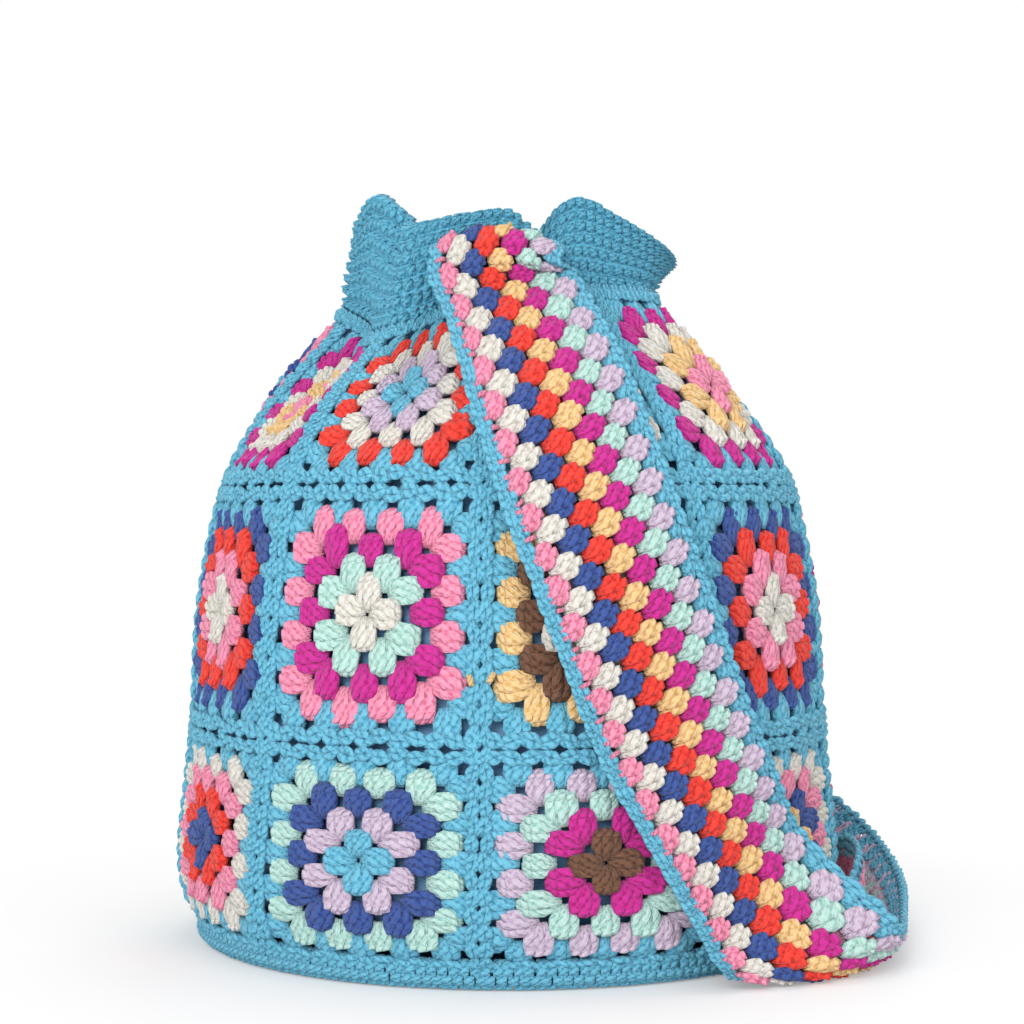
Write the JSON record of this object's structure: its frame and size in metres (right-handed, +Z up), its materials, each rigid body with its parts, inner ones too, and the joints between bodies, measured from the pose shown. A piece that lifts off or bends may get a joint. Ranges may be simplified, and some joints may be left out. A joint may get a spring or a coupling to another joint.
{
  "type": "crocheted bucket shoulder bag",
  "caption": "Crocheted bucket bag of granny squares with a gathered ruffled neck, a round flat base, a cloth lining and a wide striped shoulder strap.",
  "frame": {"origin": "middle of the flat underside of the base, on the surface that the bag stands on", "axes": "+Z up, out of the mouth; -Y the front, where the strap crosses the bag; +X the side that the strap's loop lies on"},
  "size_m": [0.3504, 0.314, 0.3492],
  "materials": {
    "turquoise_yarn": "solid crocheted cotton yarn, matt",
    "square_yarn": "crocheted cotton yarn in rounds of many colours, matt",
    "strap_yarn": "crocheted cotton yarn in lengthwise rows of many colours, matt",
    "lining_cloth": "plain woven blue cloth, matt"
  },
  "bodies": {
    "root": {"base": "turquoise_yarn", "square_low_1": "square_yarn", "square_low_2": "square_yarn", "square_low_3": "square_yarn", "square_low_4": "square_yarn", "square_low_5": "square_yarn", "square_low_6": "square_yarn", "square_low_7": "square_yarn", "square_low_8": "square_yarn", "square_low_9": "square_yarn", "square_middle_1": "square_yarn", "square_middle_2": "square_yarn", "square_middle_3": "square_yarn", "square_middle_4": "square_yarn", "square_middle_5": "square_yarn", "square_middle_6": "square_yarn", "square_middle_7": "square_yarn", "square_middle_8": "square_yarn", "square_middle_9": "square_yarn", "square_top_1": "square_yarn", "square_top_2": "square_yarn", "square_top_3": "square_yarn", "square_top_4": "square_yarn", "square_top_5": "square_yarn", "square_top_6": "square_yarn", "square_top_7": "square_yarn", "square_top_8": "square_yarn", "square_top_9": "square_yarn", "collar": "turquoise_yarn", "lining": "lining_cloth", "strap": "strap_yarn"}
  },
  "joints": []
}
